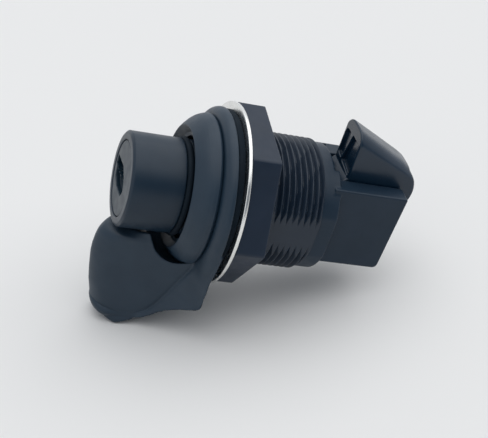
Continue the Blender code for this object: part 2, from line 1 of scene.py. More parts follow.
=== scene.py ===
"""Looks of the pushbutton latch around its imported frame.

Axes as in the part: the barrel runs along Y, the button faces -Y, the bolt stands up (+Z) and the grip hangs down.
The origin is on the barrel's axis, where washer and gasket meet. Sizes are millimetres. A moulded piece is a field,
negative inside, that skin() turns into a surface, and a turned piece is an outline for lathe().
"""
import math

import bpy
import numpy as np
from mathutils import Matrix, Vector


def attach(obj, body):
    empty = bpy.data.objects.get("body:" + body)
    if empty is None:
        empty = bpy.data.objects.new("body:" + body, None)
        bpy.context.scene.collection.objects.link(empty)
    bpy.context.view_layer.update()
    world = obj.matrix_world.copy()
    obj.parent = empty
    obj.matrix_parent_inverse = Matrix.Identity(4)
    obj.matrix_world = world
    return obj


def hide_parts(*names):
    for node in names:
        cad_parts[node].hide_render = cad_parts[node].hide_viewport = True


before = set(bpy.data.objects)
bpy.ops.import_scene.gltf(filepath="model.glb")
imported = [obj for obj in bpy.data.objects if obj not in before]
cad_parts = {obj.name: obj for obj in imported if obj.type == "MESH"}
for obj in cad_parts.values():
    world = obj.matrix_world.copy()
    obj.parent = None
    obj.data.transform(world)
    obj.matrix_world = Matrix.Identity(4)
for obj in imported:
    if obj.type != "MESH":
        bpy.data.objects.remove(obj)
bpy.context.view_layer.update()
MM = 0.001

# Camera, fitted to the photograph
CAMERA_PLACE = (150.514, -55.677, 92.252)
CAMERA_RIGHT = (0.20064, 0.93713, 0.28553)
CAMERA_UP = (-0.57261, -0.12431, 0.81035)
CAMERA_BACK = (0.79490, -0.32609, 0.51167)
camera_data = bpy.data.cameras.new("camera")
camera_data.sensor_fit = "HORIZONTAL"
camera_data.sensor_width = 36.0
camera_data.lens = 83.56
camera_data.clip_start = 0.005
camera = bpy.data.objects.new("camera", camera_data)
bpy.context.scene.collection.objects.link(camera)
turn = Matrix((Vector(CAMERA_RIGHT), Vector(CAMERA_UP), Vector(CAMERA_BACK))).transposed().to_4x4()
camera.matrix_world = Matrix.Translation(Vector(CAMERA_PLACE) * MM) @ turn
bpy.context.scene.camera = camera
bpy.context.scene.view_settings.view_transform = "Standard"

# Fields: smooth joins and cuts, profiles and tables


def meet(a, b, k):
    """The larger of two fields, with their common edge rounded over a width k."""
    h = np.maximum(k - np.abs(a - b), 0.0) / k
    return np.maximum(a, b) + h * h * k / 4


def blend(a, b, k):
    """The smaller of two fields, with a fillet of width k where they meet."""
    return -meet(-a, -b, k)


def profile_field(outline, low, high, step=0.04):
    """Signed distance to a closed outline of (u, v) points, read from a table."""
    pts = np.array(outline, float)
    u = np.arange(low[0], high[0] + step, step)
    v = np.arange(low[1], high[1] + step, step)
    gu, gv = np.meshgrid(u, v, indexing="ij")
    best = np.full(gu.shape, np.inf)
    inside = np.zeros(gu.shape, bool)
    for p, q in zip(pts, np.roll(pts, -1, axis=0)):
        du, dv = q - p
        length = du * du + dv * dv
        if length < 1e-12:
            continue
        t = np.clip(((gu - p[0]) * du + (gv - p[1]) * dv) / length, 0, 1)
        best = np.minimum(best, (gu - p[0] - t * du) ** 2 + (gv - p[1] - t * dv) ** 2)
        crosses = (p[1] > gv) != (q[1] > gv)
        if dv:
            inside ^= crosses & (gu < p[0] + (gv - p[1]) * du / dv)
    table = np.sqrt(best) * np.where(inside, -1, 1)

    def read(a, b):
        a = np.clip((a - low[0]) / step, 0, len(u) - 1.001)
        b = np.clip((b - low[1]) / step, 0, len(v) - 1.001)
        i, j = a.astype(int), b.astype(int)
        s, t = a - i, b - j
        return (table[i, j] * (1 - s) * (1 - t) + table[i + 1, j] * s * (1 - t)
                + table[i, j + 1] * (1 - s) * t + table[i + 1, j + 1] * s * t)

    return read


def smooth_table(points, width=1.2):
    """A curve through (x, value) pairs, as the mean over a sliding width taken twice, straight past its ends."""
    samples = 20
    xs, vs = np.array(sorted(points)).T
    fine = np.arange(xs[0] - 3 * width, xs[-1] + 3 * width, width / samples)
    slope_a, slope_b = (vs[1] - vs[0]) / (xs[1] - xs[0]), (vs[-1] - vs[-2]) / (xs[-1] - xs[-2])
    value = np.interp(fine, xs, vs)
    value += np.minimum(fine - xs[0], 0) * slope_a + np.maximum(fine - xs[-1], 0) * slope_b
    box = np.ones(samples) / samples
    for _ in range(2):
        padded = np.pad(value, samples, mode="reflect", reflect_type="odd")
        value = np.convolve(padded, box, mode="same")[samples:-samples]
    return lambda x: np.interp(x, fine, value)


def box_field(x, y, z, low, high):
    """The largest of the six distances past a box's faces."""
    return np.maximum.reduce([low[0] - x, x - high[0], low[1] - y, y - high[1], low[2] - z, z - high[2]])


# Surfaces from fields and outlines


def skin(field, low, high, step):
    """Points and faces of the surface where a field is zero, on a grid of a step between two corners.

    Each grid cell that the surface crosses gets one point, at the mean of its edge crossings, and the four cells
    round a crossed grid edge share a face. The points then slide along the field's slope onto the surface.
    """
    axes = [np.arange(low[i] - step, high[i] + 1.5 * step, step) for i in range(3)]
    x, y, z = np.meshgrid(*axes, indexing="ij")
    f = field(x, y, z).astype(np.float32)
    f[f == 0] = 1e-6
    neg = f < 0
    corners = [(a, b, c) for a in (0, 1) for b in (0, 1) for c in (0, 1)]
    size = [n - 1 for n in f.shape]

    def shifted(grid, corner):
        return grid[tuple(slice(corner[i], corner[i] + size[i]) for i in range(3))]

    total = sum(shifted(neg, c).astype(np.int8) for c in corners)
    active = (total > 0) & (total < 8)
    cells = np.argwhere(active)
    index = np.full(size, -1, np.int64)
    index[active] = np.arange(len(cells))
    value = {c: shifted(f, c)[active] for c in corners}
    place, count = np.zeros((len(cells), 3)), np.zeros(len(cells))
    for a in corners:
        for axis in range(3):
            if a[axis]:
                continue
            b = tuple(1 if i == axis else a[i] for i in range(3))
            cross = (value[a] < 0) != (value[b] < 0)
            t = np.where(cross, value[a] / np.where(cross, value[a] - value[b], 1), 0)
            for i in range(3):
                place[:, i] += np.where(cross, a[i] + (t if i == axis else 0), 0)
            count += cross
    verts = (cells + place / count[:, None]) * step + np.array([a[0] for a in axes])
    faces = []
    rounds = {0: ((0, -1, -1), (0, 0, -1), (0, 0, 0), (0, -1, 0)),
              1: ((-1, 0, -1), (-1, 0, 0), (0, 0, 0), (0, 0, -1)),
              2: ((-1, -1, 0), (0, -1, 0), (0, 0, 0), (-1, 0, 0))}
    for axis in range(3):
        ahead = [slice(1, -1)] * 3
        ahead[axis] = slice(0, -1)
        after = list(ahead)
        after[axis] = slice(1, None)
        cross = neg[tuple(ahead)] != neg[tuple(after)]
        at = np.argwhere(cross) + [0 if i == axis else 1 for i in range(3)]
        quad = np.stack([index[tuple((at + step_to).T)] for step_to in rounds[axis]], axis=1)
        leaving = neg[tuple(at.T)]
        faces.append(np.where(leaving[:, None], quad, quad[:, ::-1]))
    faces = np.concatenate(faces)
    faces = faces[(faces >= 0).all(axis=1)]
    probe, longest, flattest = step * 0.1, 0.3 * step, 0.05
    for _ in range(3):
        here = field(*verts.T)
        rise = [field(*(verts + probe * e).T) - field(*(verts - probe * e).T) for e in np.eye(3)]
        slope = np.stack([r / (2 * probe) for r in rise], axis=1)
        move = -here[:, None] * slope / np.maximum((slope ** 2).sum(axis=1), flattest)[:, None]
        far = np.linalg.norm(move, axis=1)
        verts = verts + move * np.minimum(1, longest / np.maximum(far, 1e-9))[:, None]
    return verts, faces


def rings(grid):
    """Points and faces of a (row, turn) grid of points that closes on itself both ways."""
    rows, cols = grid.shape[:2]
    i, j = np.meshgrid(np.arange(rows), np.arange(cols), indexing="ij")
    i, j = i.ravel(), j.ravel()
    i2, j2 = (i + 1) % rows, (j + 1) % cols
    faces = np.stack([i * cols + j, i * cols + j2, i2 * cols + j2, i2 * cols + j], axis=1)
    return grid.reshape(-1, 3), faces


def lathe(profile, segments):
    """Points and faces of a closed (y, r) outline turned about the barrel's axis."""
    prof = np.array(profile, float)
    a = np.linspace(0, 2 * np.pi, segments, endpoint=False)
    y = np.repeat(prof[:, :1], segments, axis=1)
    return rings(np.stack([prof[:, 1:] * np.cos(a), y, prof[:, 1:] * np.sin(a)], axis=2))


def rounded(points, radii, per_corner=6):
    """A closed outline with each corner replaced by an arc, of one radius or of its own."""
    nearly_straight, share_of_side = 1.55, 0.48
    pts = [np.array(p, float) for p in points]
    out = []
    for k, corner in enumerate(pts):
        r = radii[k] if isinstance(radii, (list, tuple)) else radii
        before, after = pts[k - 1] - corner, pts[(k + 1) % len(pts)] - corner
        lb, la = np.linalg.norm(before), np.linalg.norm(after)
        before, after = before / lb, after / la
        half = 0.5 * math.acos(max(-1, min(1, float(before @ after))))
        if r <= 0 or half > nearly_straight:
            out.append(tuple(corner))
            continue
        reach = min(r / math.tan(half), share_of_side * lb, share_of_side * la)
        r = reach * math.tan(half)
        middle = corner + (before + after) / np.linalg.norm(before + after) * r / math.sin(half)
        start, stop = corner + before * reach - middle, corner + after * reach - middle
        a0, a1 = math.atan2(start[1], start[0]), math.atan2(stop[1], stop[0])
        swing = (a1 - a0 + math.pi) % (2 * math.pi) - math.pi
        for i in range(per_corner + 1):
            a = a0 + swing * i / per_corner
            out.append((middle[0] + r * math.cos(a), middle[1] + r * math.sin(a)))
    return out


def add_mesh(name, surface, look, body, replaces, sharp=None):
    """A mesh from a surface's points and faces, turned outwards, riding a body and dressed with a look."""
    verts, faces = surface
    mesh = bpy.data.meshes.new(name)
    mesh.vertices.add(len(verts))
    mesh.vertices.foreach_set("co", (np.asarray(verts, np.float32) * MM).ravel())
    faces = np.asarray(faces, np.int32)
    corners = faces.shape[1]
    at = np.asarray(verts, float)[faces]
    fans = [np.cross(at[:, i], at[:, i + 1]) for i in range(1, corners - 1)]
    if sum(np.einsum("ij,ij->", at[:, 0], fan) for fan in fans) < 0:
        faces = np.ascontiguousarray(faces[:, ::-1])
    mesh.loops.add(faces.size)
    mesh.loops.foreach_set("vertex_index", faces.ravel())
    mesh.polygons.add(len(faces))
    mesh.polygons.foreach_set("loop_start", np.arange(0, faces.size, corners, dtype=np.int32))
    mesh.update(calc_edges=True)
    mesh.validate()
    mesh.shade_smooth()
    if sharp:
        mesh.set_sharp_from_angle(angle=math.radians(sharp))
    mesh.materials.append(look)
    piece = bpy.data.objects.new(name, mesh)
    bpy.context.scene.collection.objects.link(piece)
    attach(piece, body)
    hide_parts(*replaces)
    return piece


# Finishes. Scales are cycles per metre, and relief is in metres.
MOTTLE = 160
GRAIN = 5000
RELIEF_STRENGTH = 0.35


def nodes_of(name):
    """A new material with its nodes, links and surface shader."""
    mat = bpy.data.materials.new(name)
    mat.use_nodes = True
    tree = mat.node_tree
    return mat, tree.nodes, tree.links, tree.nodes["Principled BSDF"]


def noise(nodes, links, scale, detail):
    """Noise on object coordinates."""
    place = nodes.new("ShaderNodeTexCoord")
    field = nodes.new("ShaderNodeTexNoise")
    field.inputs["Scale"].default_value = scale
    field.inputs["Detail"].default_value = detail
    links.new(place.outputs["Object"], field.inputs["Vector"])
    return field.outputs["Fac"]


def ramp(nodes, links, source, low, high, at):
    """A step from a low colour to a high one, between two values of the source."""
    step = nodes.new("ShaderNodeValToRGB")
    for element, colour, position in zip(step.color_ramp.elements, (low, high), at):
        element.position = position
        element.color = (*colour, 1)
    links.new(source, step.inputs["Fac"])
    return step.outputs["Color"]


def finish_of(name, dark, light, rough, relief=0.0, grain=GRAIN, metallic=0.0, specular=0.5):
    """A surface with slow mottling in colour, uneven gloss and a fine grain."""
    mat, nodes, links, shader = nodes_of(name)
    colour = ramp(nodes, links, noise(nodes, links, MOTTLE, 4.0), dark, light, (0.35, 0.65))
    matt, dull = (rough[0],) * 3, (rough[1],) * 3
    gloss = ramp(nodes, links, noise(nodes, links, MOTTLE * 3, 3.0), matt, dull, (0.3, 0.7))
    links.new(colour, shader.inputs["Base Color"])
    links.new(gloss, shader.inputs["Roughness"])
    shader.inputs["Metallic"].default_value = metallic
    shader.inputs["Specular IOR Level"].default_value = specular
    if relief:
        bump = nodes.new("ShaderNodeBump")
        bump.inputs["Strength"].default_value = RELIEF_STRENGTH
        bump.inputs["Distance"].default_value = relief
        links.new(noise(nodes, links, grain, 2.0), bump.inputs["Height"])
        links.new(bump.outputs["Normal"], shader.inputs["Normal"])
    return mat


body = finish_of("moulded_black", (0.009, 0.025, 0.045), (0.013, 0.031, 0.053), (0.40, 0.50), 0.00002, specular=0.40)
satin = finish_of("button_black", (0.006, 0.018, 0.034), (0.009, 0.023, 0.041), (0.34, 0.42), 0.000012, specular=0.34)
glossy = finish_of("bolt_black", (0.004, 0.018, 0.037), (0.007, 0.022, 0.044), (0.20, 0.28), specular=0.45)
nut_black = finish_of("nut_black", (0.009, 0.019, 0.037), (0.012, 0.023, 0.044), (0.36, 0.46), 0.000015, specular=0.30)
rubber = finish_of("rubber_black", (0.002, 0.007, 0.014), (0.004, 0.011, 0.019), (0.7, 0.85), 0.000008, 2500,
                   specular=0.2)
plated = finish_of("plated_steel", (0.74, 0.74, 0.72), (0.84, 0.84, 0.82), (0.2, 0.34), 0.000004, 4000, 1.0)
steel = finish_of("plain_steel", (0.48, 0.48, 0.47), (0.62, 0.62, 0.6), (0.28, 0.42), 0.000005, 4000, 1.0)
brass = finish_of("stamped_brass", (0.5, 0.37, 0.16), (0.64, 0.49, 0.24), (0.26, 0.42), 0.000005, 4000, 1.0)
thread_black = finish_of("thread_black", (0.008, 0.018, 0.034), (0.012, 0.023, 0.041), (0.32, 0.42), 0.000006,
                         specular=0.40)
block_black = finish_of("block_black", (0.008, 0.021, 0.038), (0.011, 0.025, 0.045), (0.36, 0.46), 0.00001,
                        specular=0.27)
plug_black = finish_of("plug_black", (0.004, 0.018, 0.032), (0.007, 0.022, 0.038), (0.36, 0.48), 0.000008,
                       specular=0.34)

# Sizes that several pieces share
BORE_R = 9.1
THREAD_R = 11.0
HOLE_R = 11.08
PIVOT_Y, PIVOT_Z = 26.0, 5.4

# Bezel: dome with a dished lip, groove, ring and pull grip. Outlines are (y, r), tables are (z, value).
DOME = [(-1.35, 9.1), (-3.0, 9.1), (-3.0, 8.4), (-5.75, 8.4), (-5.9, 8.95), (-7.15, 10.0), (-6.5, 10.78), (-6.0, 11.28),
        (-5.6, 11.62), (-5.2, 11.9), (-4.8, 12.1), (-4.2, 12.33), (-3.62, 12.46), (-3.3, 12.3), (-3.1, 12.02),
        (-1.35, 12.02)]
DOME_ROUND = [0.05, 0.05, 0.05, 0.05, 0.4, 0.2, 1.2, 1.2, 1.2, 1.2, 1.2, 1.2, 0.1, 0.1, 0.05, 0.05]
CHANNEL = [(-30, 8.1), (-10.4, 8.1), (-10.15, 8.6), (-9.92, 9.19), (-9.5, 10.05), (-9.08, 10.69), (-8.5, 11.25),
           (-7.93, 11.69), (-7.2, 12.1), (-6.6, 12.32), (-6.0, 12.42), (-5.4, 12.42), (-4.6, 12.35), (-3.6, 12.2),
           (-3.4, 12.1), (-3.2, 0), (-30, 0)]
CREASE_Y = [(-26.5, -16.2), (-25, -13.5), (-24.2, -12), (-22.8, -9.9), (-21.5, -8.6), (-20.5, -7.75), (-19.5, -7.15),
            (-18, -6.45), (-16.4, -5.8), (-15, -5.3), (-13.7, -4.85), (-12.4, -4.4), (-10.1, -3.5), (-8, -2.8),
            (-6.8, -2.5), (-4.6, -2.2)]
EDGE_Y = [(-27.6, -14.2), (-26.9, -13.2), (-25, -11), (-23.8, -9.6), (-22.5, -8.4), (-20.9, -7.1), (-19.7, -6.3),
          (-18.3, -5.2), (-16.9, -3.8), (-15.9, -2.6), (-15.0, -1.6), (-14.4, -1.2), (-10, -1.2)]
EDGE_X = [(-27.6, 1.8), (-26.9, 2.6), (-25, 4.5), (-23.8, 5.7), (-22.5, 6.9), (-20.9, 8.0), (-19.7, 8.7),
          (-18.3, 9.7), (-16.9, 11.0), (-15.9, 12.1), (-15.0, 13.2), (-14.0, 13.5), (-8.0, 14.1), (-4.0, 14.5)]
NOSE_Y = [(-27, -14.2), (-26.2, -14.7), (-25.3, -15.15), (-23.9, -15.75), (-22.2, -16.3), (-20.2, -16.95),
          (-18.2, -17.4), (-16.4, -17.75), (-14.6, -18.05), (-13.2, -18.1), (-11.4, -17.9), (-10.3, -17.6),
          (-9.5, -17.0), (-9.0, -16.3), (-8.6, -15.2), (-8.2, -13.6), (-7.4, -12.2), (-6.4, -11.6), (-3, -11.4)]
channel_section = profile_field(CHANNEL, (-24, 0), (0, 24))
crease_y = smooth_table(CREASE_Y)
edge_y = smooth_table(EDGE_Y, 0.5)
edge_x = smooth_table(EDGE_X, 0.5)
nose_y = smooth_table(NOSE_Y, 0.45)

BACK_Y = -1.2
SHIELD_R, SHIELD_X, SHIELD_DROP, SHIELD_TAPER = 14.7, 13.3, 15.0, 0.1
RING_R, RING_INNER, RING_Y, RING_DEPTH, RING_HEIGHT = 12.05, 10.2, -1.5, 1.62, 1.5
CLEAR_R, CLEAR_FRONT = 9.15, -6.0
NOSE_HALF, NOSE_FROM, NOSE_ROUND, FLANK_SLOPE, FLANK_LENGTH = 2.78, -16.38, 3.4, 0.47, 1.105
SPINE = 0.5
SEAM_DEPTH, SEAM_WIDTH = 0.16, 0.2
GRIP_LOW, GRIP_RISE, GRIP_TOP = -26.45, 0.22, -3.0
HEEL_Z, HEEL_LEAN = -14.6, 0.72
SCOOP_X, SCOOP_LONG, SCOOP_SHORT, SCOOP_SUM, SCOOP_DIFFERENCE = 4.9, 7.92, 4.81, -26.45, 13.9


def shield_reach(x, z):
    """Distance from the axis to the shield's outline in the direction of a point."""
    r = np.maximum(np.hypot(x, z), 1e-6)
    cx, cz = np.abs(x) / r, z / r
    reach = np.sqrt(SHIELD_R ** 2 - cx ** 2) - cz
    side = (SHIELD_X + SHIELD_TAPER * SHIELD_DROP) / np.maximum(cx - SHIELD_TAPER * cz, 1e-3)
    low = SHIELD_DROP / np.maximum(-cz, 1e-3)
    return -meet(meet(-reach, -side, 0.3), -low, 0.5)


def grip_field(x, y, z):
    """The wedge of the grip with its round nose, widening behind the crease into the skirt.

    The flank and the skirt are planes that lean outwards as y grows, joined with a seam groove. The scoop behind is
    an ellipsoid whose long axes lie along y + z and y - z, and the channel clears the dome.
    """
    ax = np.sqrt(x * x + SPINE)
    flank = (ax - NOSE_HALF - FLANK_SLOPE * (y - NOSE_FROM)) / FLANK_LENGTH
    yc, ye, xe = crease_y(z), edge_y(z), edge_x(z)
    xc = NOSE_HALF + FLANK_SLOPE * (yc - NOSE_FROM)
    slope = np.maximum(xe - xc, 0.02) / np.maximum(ye - yc, 0.3)
    skirt = (ax - xc - slope * (y - yc)) / np.sqrt(1 + slope * slope)
    seam = SEAM_DEPTH * np.exp(-((flank - skirt) / SEAM_WIDTH) ** 2) * np.clip((-z - 8.5) / 1.5, 0, 1)
    side = blend(flank, skirt, 0.12) + seam
    solid = meet(side, (nose_y(z) - 0.4 - y) * 0.95, NOSE_ROUND)
    solid = meet(solid, -(z - GRIP_LOW - GRIP_RISE * np.maximum(-10.0 - y, 0)), 1.1)
    lean = np.where(z < HEEL_Z, HEEL_LEAN, 1.0)
    solid = meet(solid, (y - ye) * lean, 0.35)
    solid = np.maximum.reduce([solid, y - BACK_Y, z - GRIP_TOP])
    along, across = (y + z - SCOOP_SUM) / SCOOP_LONG, (y - z - SCOOP_DIFFERENCE) / SCOOP_SHORT
    scoop = (np.sqrt((x / SCOOP_X) ** 2 + along ** 2 + across ** 2) - 1) * 3.4
    solid = meet(solid, -scoop, 0.5)
    r = np.hypot(x, z)
    return meet(solid, -channel_section(y, r), 0.3)


def bezel_field(x, y, z):
    """A ring that swells from the dome's foot out to the shield, with the grip below and the bore kept clear.

    The swell is a quarter ellipse, from the dome's radius to the shield's outline and from the back to the front.
    """
    r = np.hypot(x, z)
    reach = shield_reach(x, z)
    wide = reach - RING_R
    u = (r - RING_R) / wide
    v = np.minimum(y - RING_Y, 0) / RING_DEPTH
    swell = (np.sqrt(np.maximum(u, 0) ** 2 + v * v) - 1) * RING_HEIGHT
    ring = meet(swell, y - BACK_Y, 0.2)
    ring = np.maximum(ring, RING_INNER - r)
    grip = grip_field(x, y, z)
    return np.maximum(blend(ring, grip, 0.5), np.minimum(CLEAR_R - r, y - CLEAR_FRONT))


bezel = add_mesh("bezel_and_grip", skin(bezel_field, (-15.0, -18.4, -26.9), (15.0, -1.0, 14.0), 0.2),
                 body, "frame", ("housing",))
add_mesh("bezel_dome", lathe(rounded(DOME, DOME_ROUND, 5), 256), body, "frame", ("housing",), sharp=24)

# Barrel: fine thread with two flats
BARREL_FRONT, BARREL_END, BARREL_FLAT = -1.0, 14.62, 10.27
THREAD_PITCH, THREAD_DEPTH, CREST_Y, CREST_TURN = 1.011, 0.6, 8.37, math.radians(20)
NECK_STEP = 0.5


def barrel_surface():
    """Radius over turn and length: the crest radius less a saw-tooth helix, clipped at the flats, with a plain bore.

    The tooth's height is a triangle wave of length over pitch plus turn, and it fades in and out at its ends.
    """
    turns = np.linspace(0, 2 * np.pi, 288, endpoint=False)
    thread_run = np.arange(5.75, BARREL_END, 0.0825)
    along = np.concatenate([[BARREL_FRONT], np.linspace(0.4, 5.6, 14), thread_run, [BARREL_END]])
    tt, yy = np.meshgrid(turns, along)
    phase = (yy - CREST_Y) / THREAD_PITCH + (tt - CREST_TURN) / (2 * np.pi)
    saw = np.abs((phase % 1.0) - 0.5) * 2
    depth = THREAD_DEPTH * (1 - np.clip(saw * 1.2 - 0.06, 0, 1))
    fade = np.clip((yy - 5.8) / 0.9, 0, 1) * np.clip((14.75 - yy) / 0.35, 0, 1)
    rr = THREAD_R - depth * fade - NECK_STEP * np.clip((yy - 14.25) / 0.37, 0, 1)
    xx, zz = rr * np.cos(tt), rr * np.sin(tt)
    xx = np.clip(xx, -BARREL_FLAT, BARREL_FLAT)
    outer = np.stack([xx, yy, zz], axis=2)
    inner = np.stack([BORE_R * np.cos(tt), yy, BORE_R * np.sin(tt)], axis=2)
    verts, faces = rings(np.concatenate([outer, inner[::-12][:-1], inner[:1]]))
    # Going round the other way sets the diagonal along which each face of the thread is split
    return verts, faces[:, [0, 3, 2, 1]]


barrel = add_mesh("threaded_barrel", barrel_surface(), thread_black, "frame", ("housing",), sharp=50)

# Neck and bolt block
NECK_FRONT, NECK_END, NECK_R, NECK_FLAT = 14.3, 17.4, 10.5, 9.88
BLOCK_FRONT, BLOCK_REAR, BLOCK_X, BLOCK_TOP, BLOCK_LOW = 16.3, 29.2, 7.6, 8.0, -6.1
REAR_LEAN, REAR_LENGTH = 0.04, 1.0008
BORE_END = 15.2
SLOT_X = 4.2
SLOT = [(17.3, -4.9), (27.5, -4.9), (27.5, 1.4), (40, 1.4), (40, 30), (16.5, 30), (16.5, 9.3), (17.3, 8.6)]
ROD_HOLE = (-2.6, 14, -4.4), (2.6, 19, -1.4)
PIN_HOLE_R, PIN_HOLE_END = 1.23, 6.4
slot_section = profile_field(SLOT, (12, -9), (33, 13))


def block_field(x, y, z):
    """Neck disc and square block in one, with the bolt's slot, the plunger's hole and the pin's bore."""
    r = np.hypot(x, z)
    neck = meet(meet(r - NECK_R, y - NECK_END, 0.3), np.abs(x) - NECK_FLAT, 0.12)
    neck = np.maximum(neck, NECK_FRONT - y)
    rear = (y - BLOCK_REAR - REAR_LEAN * (z - BLOCK_TOP)) / REAR_LENGTH
    block = meet(meet(np.abs(x) - BLOCK_X, z - BLOCK_TOP, 0.3), meet(BLOCK_LOW - z, rear, 0.9), 0.3)
    block = np.maximum(block, BLOCK_FRONT - y)
    solid = blend(neck, block, 0.3)
    slot = meet(slot_section(y, z), np.abs(x) - SLOT_X, 0.2)
    bore = np.maximum(r - BORE_R, y - BORE_END)
    hole = box_field(x, y, z, *ROD_HOLE)
    pin = np.maximum(np.hypot(y - PIVOT_Y, z - PIVOT_Z) - PIN_HOLE_R, x - PIN_HOLE_END)
    solid = meet(solid, -slot, 0.2)
    return np.maximum.reduce([solid, -bore, -hole, -pin])


block = add_mesh("neck_and_block", skin(block_field, (-10.7, 14.2, -10.7), (10.7, 29.4, 10.7), 0.16),
                 block_black, "frame", ("housing",))

# Clamp nut
NUT_HALF, NUT_FRONT, NUT_REAR, NUT_LEAD = 13.0, 0.63, 5.48, 11.58
NUT_ANGLES = [math.radians(53.3 + 30 + 60 * k) for k in range(3)]


def nut_field(x, y, z):
    """Plain hexagon 26 mm across flats with slightly broken edges and a bored, countersunk middle."""
    r = np.hypot(x, z)
    hexa = None
    for a in NUT_ANGLES:
        flat = np.abs(x * math.cos(a) + z * math.sin(a)) - NUT_HALF
        hexa = flat if hexa is None else meet(hexa, flat, 0.3)
    solid = meet(hexa, meet(NUT_FRONT - y, y - NUT_REAR, 0.1), 0.22)
    lead = np.maximum(NUT_LEAD - r - (y - NUT_FRONT), NUT_LEAD - r - (NUT_REAR - y)) / 1.414
    return np.maximum.reduce([solid, HOLE_R - r, lead])


nut = add_mesh("clamp_nut", skin(nut_field, (-15.1, 0.6, -15.1), (15.1, 5.5, 15.1), 0.17),
               nut_black, "frame", ("hex_nut",))

# Washer and gasket
WASHER = [(0.0, HOLE_R), (0.0, 14.95), (0.6, 14.95), (0.6, HOLE_R)]
GASKET = [(-1.17, HOLE_R), (-1.17, 13.6), (-0.03, 13.6), (-0.03, HOLE_R)]
add_mesh("plate_washer", lathe(rounded(WASHER, [0.05, 0.16, 0.2, 0.05]), 256),
         plated, "frame", ("washer",), sharp=40)
add_mesh("seal_gasket", lathe(rounded(GASKET, [0.05, 0.25, 0.2, 0.05]), 256),
         rubber, "frame", ("gasket",), sharp=40)

# Bolt: side outline as (y, z), pockets as (x, z)
BOLT_X, POCKET_FLOOR, BOLT_HOLE_R = 3.85, 19.85, 1.26
ARM_X, ARM_TOP, ARM_REAR = 2.8, 1.7, 24.2
BOLT_SIDE = [(19.3, 8.2), (17.65, 6.7), (17.65, 3.2), (21.6, 1.8), (21.6, -3.6), (23.2, -3.6), (23.7, 2.2)]
BOLT_SIDE += [(26.5 + 5.1 * math.cos(math.radians(a)), 7.2 + 5.1 * math.sin(math.radians(a)))
              for a in range(-95, 47, 4)]
BOLT_SIDE += [(30.4, 12.6), (28.6, 13.8), (26.0, 15.0), (20.0, 17.6), (19.3, 17.6)]
LEFT_POCKET = [(-3.2, 9.3), (-1.6, 9.0), (-0.7, 13.2), (-1.2, 14.0), (-2.8, 13.9), (-3.2, 13.0)]
RIGHT_POCKET = [(-1.0, 8.9), (3.1, 8.3), (3.2, 12.8), (2.4, 14.0), (0.2, 14.1), (-0.1, 13.3)]
CROWN_Z = [(18.0, 16.3), (19.3, 16.25), (19.8, 16.05), (24.2, 14.0), (28.8, 11.85), (30.5, 10.9), (32.0, 9.9)]
CROWN_DROP = [(18.0, 1.9), (19.5, 1.9), (21.0, 1.75), (25.0, 1.4), (30.0, 1.1), (33.0, 1.0)]
bolt_section = profile_field(BOLT_SIDE, (16, -5), (33, 19))
crown_z = smooth_table(CROWN_Z, 0.3)
crown_drop = smooth_table(CROWN_DROP, 0.8)
pockets = [profile_field(rounded(outline, 0.3), (-6, 6), (6, 18)) for outline in (LEFT_POCKET, RIGHT_POCKET)]


def bolt_field(x, y, z):
    """Side outline across the width, under a crowned ramp, with two pockets in the strike face and a thin arm.

    The crown falls from the middle to the sides with the fourth power of the distance across.
    """
    ax = np.abs(x)
    side = bolt_section(y, z)
    top = z - crown_z(y) + crown_drop(y) * (ax / BOLT_X) ** 4
    solid = meet(meet(side, ax - BOLT_X, 0.45), top * 0.9, 0.3)
    for pocket in pockets:
        solid = meet(solid, -np.maximum(pocket(x, z), y - POCKET_FLOOR), 0.25)
    thin = np.maximum(solid, np.minimum(ax - ARM_X, ARM_TOP - z))
    solid = np.where((z < ARM_TOP) & (y < ARM_REAR), thin, solid)
    return np.maximum(solid, BOLT_HOLE_R - np.hypot(y - PIVOT_Y, z - PIVOT_Z))


add_mesh("slam_bolt", skin(bolt_field, (-4.0, 17.5, -3.8), (4.0, 31.8, 16.9), 0.12),
         glossy, "bolt", ("bolt",))

# Button
KEY_TILT = math.radians(9.0)
SHELL = [(-16.2, 6.22), (-16.2, 7.3), (-15.85, 7.75), (-7.5, 7.75), (-7.5, 7.08), (-6.3, 7.08), (-6.3, 7.75),
         (2.2, 7.75), (2.6, 7.35), (2.6, 5.58), (-14.4, 5.58), (-14.4, 6.22)]
SHELL_ROUND = [0.06, 0.1, 0.12, 0.05, 0.03, 0.03, 0.05, 0.1, 0.1, 0.05, 0.05, 0.05]
LUG_R, LUG_INNER, LUG_FRONT, LUG_REAR, LUG_HALF = 9.0, 7.0, -2.7, -0.8, 4.0
TRACK_LONG, TRACK_HALF, TRACK_FRONT, TRACK_REAR = 6.75, 2.55, -12.7, -3.9
shell_section = profile_field(rounded(SHELL, SHELL_ROUND), (-18, 4), (4, 11))


def turned(x, z):
    """Coordinates along and across the tilted key slot."""
    return (x * math.cos(KEY_TILT) + z * math.sin(KEY_TILT),
            z * math.cos(KEY_TILT) - x * math.sin(KEY_TILT))


def shell_field(x, y, z):
    """Turned shell with a seal groove, two snap lugs and the wafers' tracks, which cross behind the rim."""
    r = np.hypot(x, z)
    solid = shell_section(y, r)
    lug = np.maximum.reduce([r - LUG_R, LUG_INNER - r, LUG_FRONT - y, y - LUG_REAR,
                             (r - LUG_R) + (y + 1.3) * 1.2, np.abs(z) - LUG_HALF])
    solid = np.minimum(solid, lug)
    a, b = turned(x, z)
    for long, short in ((a, b), (b, a)):
        track = [np.abs(long) - TRACK_LONG, np.abs(short) - TRACK_HALF, TRACK_FRONT - y, y - TRACK_REAR]
        solid = np.maximum(solid, -np.maximum.reduce(track))
    return solid


add_mesh("button_cap", skin(shell_field, (-9.1, -16.3, -9.1), (9.1, 2.7, 9.1), 0.17),
         satin, "button", ("button_shell",))

